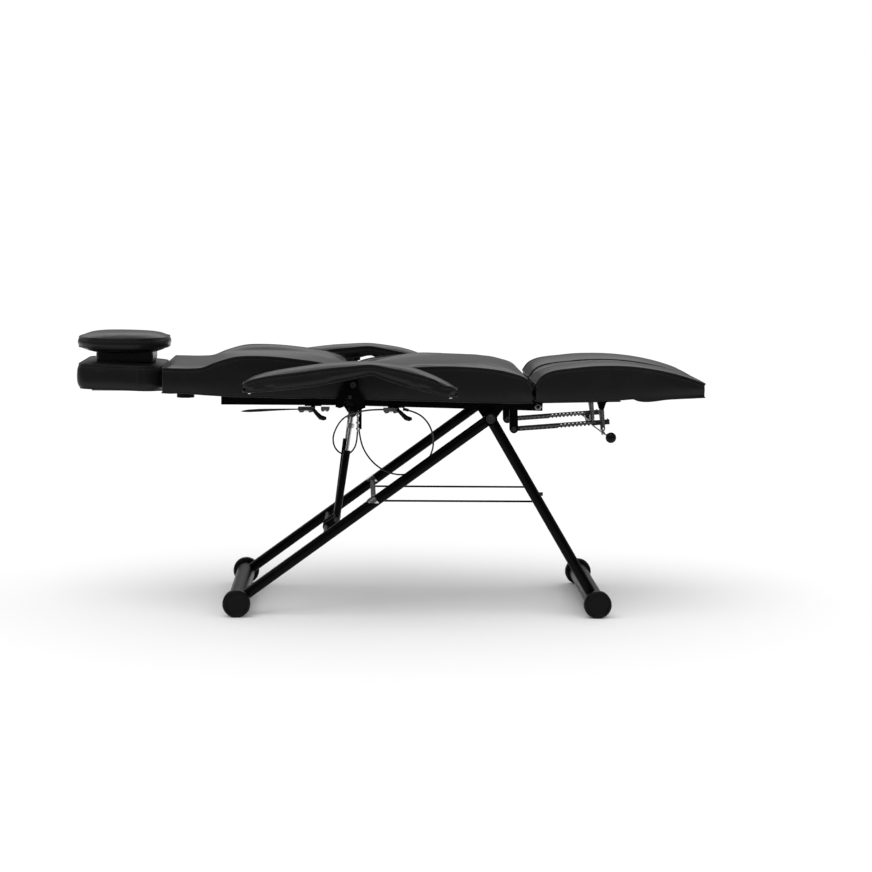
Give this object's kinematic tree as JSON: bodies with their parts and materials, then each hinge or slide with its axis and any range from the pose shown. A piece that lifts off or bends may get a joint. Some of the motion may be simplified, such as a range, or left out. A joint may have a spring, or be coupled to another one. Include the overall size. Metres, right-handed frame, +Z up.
{
  "type": "tattoo chair",
  "caption": "Padded client chair laid flat as a bed on an A-frame base, with headrest, pillow, armrests and split leg rests.",
  "frame": {"origin": "centre of the footprint of the whole chair, on the floor", "axes": "+Z up, +X from the headrest towards the leg rests, -Y the client's right"},
  "size_m": [1.891, 0.9324, 0.839],
  "materials": {
    "frame_paint": "black powder coat",
    "upholstery": "vinyl-coated fabric over foam",
    "black_plastic": "moulded black plastic",
    "bright_steel": "bright plated steel",
    "dark_steel": "blackened steel"
  },
  "bodies": {
    "base": {"rear_foot_bar": "frame_paint", "front_foot_bar": "frame_paint", "foot_caps": "black_plastic", "long_leg_right": "frame_paint", "long_leg_left": "frame_paint", "short_leg_right": "frame_paint", "short_leg_left": "frame_paint", "lower_crossbar": "frame_paint", "upper_crossbar": "frame_paint", "front_crossbar": "frame_paint", "stay_rods": "frame_paint", "saddle_clamps": "bright_steel", "base_fasteners": "dark_steel"},
    "seat": {"seat_rail_right": "frame_paint", "seat_rail_left": "frame_paint", "seat_rear_tube": "frame_paint", "seat_mid_tube": "frame_paint", "seat_front_tube": "frame_paint", "seat_cushion": "upholstery", "leg_hinge_rod": "bright_steel", "seat_fasteners": "dark_steel", "release_cable_a": "black_plastic", "release_cable_b": "black_plastic"},
    "backrest": {"back_rail_right": "frame_paint", "back_rail_left": "frame_paint", "back_lower_tube": "frame_paint", "back_upper_tube": "frame_paint", "back_cushion": "upholstery", "back_fasteners": "dark_steel"},
    "headrest": {"head_posts": "bright_steel", "head_cushion": "upholstery"},
    "pillow": {"pillow_base": "upholstery", "head_pillow": "upholstery"},
    "lock_knob": {"head_lock_knob": "black_plastic"},
    "armrest_right": {"arm_pad_right": "upholstery", "arm_board_right": "black_plastic", "arm_bracket_right": "frame_paint"},
    "leg_rest_right": {"leg_cushion_right": "upholstery", "leg_frame_right": "frame_paint"},
    "catch_arm_right": {"catch_right": "dark_steel"},
    "bar_right": {"ratchet_bar_right": "bright_steel"},
    "pawl_right": {"release_pawl_right": "dark_steel"},
    "armrest_left": {"arm_pad_left": "upholstery", "arm_board_left": "black_plastic", "arm_bracket_left": "frame_paint"},
    "leg_rest_left": {"leg_cushion_left": "upholstery", "leg_frame_left": "frame_paint"},
    "catch_arm_left": {"catch_left": "dark_steel"},
    "bar_left": {"ratchet_bar_left": "bright_steel"},
    "pawl_left": {"release_pawl_left": "dark_steel"},
    "seat_spring_cylinder_body": {"seat_spring_cylinder": "frame_paint"},
    "seat_spring_rod_body": {"seat_spring_rod": "bright_steel"},
    "back_spring_bush_body": {"back_spring_bush": "bright_steel"},
    "back_spring_cylinder_body": {"back_spring_cylinder": "frame_paint"},
    "back_spring_piston_body": {"back_spring_piston": "bright_steel"},
    "back_spring_rod_body": {"back_spring_rod": "bright_steel"},
    "seat_lever_body": {"seat_lever": "dark_steel"},
    "back_lever_body": {"back_lever": "dark_steel"}
  },
  "joints": [
    {"name": "seat_tilt", "type": "hinge", "parent": "base", "child": "seat", "pos_m": [0.3018, 0, 0.5986], "axis": [0, 1, 0], "range_deg": [-9, 0]},
    {"name": "back_recline", "type": "hinge", "parent": "seat", "child": "backrest", "pos_m": [-0.119, 0, 0.73], "axis": [0, 1, 0], "range_deg": [0, 70]},
    {"name": "headrest_slide", "type": "slide", "parent": "backrest", "child": "headrest", "axis": [-1, 0, 0], "range_m": [0, 0.08]},
    {"name": "pillow_lift", "type": "slide", "parent": "headrest", "child": "pillow", "axis": [0, 0, 1], "range_m": [0, 0.06]},
    {"name": "lock_knob_turn", "type": "hinge", "parent": "backrest", "child": "lock_knob", "pos_m": [-0.622, -0.08, 0.6405], "axis": [0, 0, 1], "range_deg": [0, 180]},
    {"name": "seat_lever_pull", "type": "hinge", "parent": "seat", "child": "seat_lever_body", "pos_m": [0.02, -0.21, 0.61548], "axis": [0, -1, 0], "range_deg": [0, 15], "stiffness_Nm_per_rad": 1.5, "springref_deg": -8.59},
    {"name": "back_lever_pull", "type": "hinge", "parent": "backrest", "child": "back_lever_body", "pos_m": [-0.23, -0.21, 0.619], "axis": [0, -1, 0], "range_deg": [0, 12], "stiffness_Nm_per_rad": 2, "springref_deg": -8.59},
    {"name": "seat_spring_swing", "type": "hinge", "parent": "base", "child": "seat_spring_cylinder_body", "pos_m": [-0.15962, -0.032, 0.25887], "axis": [0, 1, 0], "range_deg": [0, 3.5]},
    {"name": "seat_spring_stroke", "type": "slide", "parent": "seat_spring_cylinder_body", "child": "seat_spring_rod_body", "axis": [0.1453, 0, 0.9894], "range_m": [-0.064, 0]},
    {"name": "back_spring_tilt", "type": "hinge", "parent": "base", "child": "back_spring_bush_body", "pos_m": [-0.15962, 0.032, 0.25887], "axis": [0, 1, 0], "range_deg": [0, 2.9]},
    {"name": "back_spring_swing", "type": "hinge", "parent": "seat_spring_cylinder_body", "child": "back_spring_cylinder_body", "pos_m": [-0.15962, 0.032, 0.25887], "axis": [0, 1, 0], "range_deg": [-18.4, 0]},
    {"name": "back_spring_stroke", "type": "slide", "parent": "back_spring_cylinder_body", "child": "back_spring_piston_body", "axis": [0.1196, 0, 0.9928], "range_m": [-0.066, 0]},
    {"name": "back_spring_extend", "type": "slide", "parent": "back_spring_piston_body", "child": "back_spring_rod_body", "axis": [0.1196, 0, 0.9928], "range_m": [0, 0.0955]},
    {"name": "armrest_fold_right", "type": "hinge", "parent": "seat", "child": "armrest_right", "pos_m": [-0.11, -0.307, 0.701], "axis": [0, -1, 0], "range_deg": [0, 85]},
    {"name": "leg_rest_right", "type": "hinge", "parent": "seat", "child": "leg_rest_right", "pos_m": [0.4468, -0.1, 0.6318], "axis": [0, 1, 0], "range_deg": [0, 65]},
    {"name": "catch_swing_right", "type": "hinge", "parent": "leg_rest_right", "child": "catch_arm_right", "pos_m": [0.6468, -0.15, 0.6244], "axis": [0, 1, 0], "range_deg": [-8.8, 0]},
    {"name": "bar_slide_right", "type": "slide", "parent": "catch_arm_right", "child": "bar_right", "axis": [0.9968, 0, 0.0801], "range_m": [0, 0.0965]},
    {"name": "pawl_release_right", "type": "hinge", "parent": "catch_arm_right", "child": "pawl_right", "pos_m": [0.65209, -0.15, 0.55862], "axis": [0, -1, 0], "range_deg": [0, 12], "stiffness_Nm_per_rad": 1, "springref_deg": -8.59},
    {"name": "armrest_fold_left", "type": "hinge", "parent": "seat", "child": "armrest_left", "pos_m": [-0.11, 0.307, 0.701], "axis": [0, -1, 0], "range_deg": [0, 85]},
    {"name": "leg_rest_left", "type": "hinge", "parent": "seat", "child": "leg_rest_left", "pos_m": [0.4468, 0.1, 0.6318], "axis": [0, 1, 0], "range_deg": [0, 65]},
    {"name": "catch_swing_left", "type": "hinge", "parent": "leg_rest_left", "child": "catch_arm_left", "pos_m": [0.6468, 0.15, 0.6244], "axis": [0, 1, 0], "range_deg": [-8.8, 0]},
    {"name": "bar_slide_left", "type": "slide", "parent": "catch_arm_left", "child": "bar_left", "axis": [0.9968, 0, 0.0801], "range_m": [0, 0.0965]},
    {"name": "pawl_release_left", "type": "hinge", "parent": "catch_arm_left", "child": "pawl_left", "pos_m": [0.65209, 0.15, 0.55862], "axis": [0, -1, 0], "range_deg": [0, 12], "stiffness_Nm_per_rad": 1, "springref_deg": -8.59}
  ],
  "couplings": [
    {"joint": "seat_spring_swing", "follows": "seat_tilt", "ratio": -0.36789},
    {"joint": "seat_spring_stroke", "follows": "seat_tilt", "m_per_rad": 0.39724},
    {"joint": "back_spring_tilt", "follows": "seat_tilt", "ratio": -0.3105},
    {"joint": "back_spring_stroke", "follows": "seat_tilt", "m_per_rad": 0.40952},
    {"joint": "back_spring_swing", "follows": "back_recline", "ratio": -0.26016},
    {"joint": "back_spring_extend", "follows": "back_recline", "m_per_rad": 0.077103},
    {"joint": "catch_swing_right", "follows": "leg_rest_right", "ratio": -0.13236},
    {"joint": "bar_slide_right", "follows": "leg_rest_right", "m_per_rad": 0.084589},
    {"joint": "catch_swing_left", "follows": "leg_rest_left", "ratio": -0.13236},
    {"joint": "bar_slide_left", "follows": "leg_rest_left", "m_per_rad": 0.084589}
  ]
}
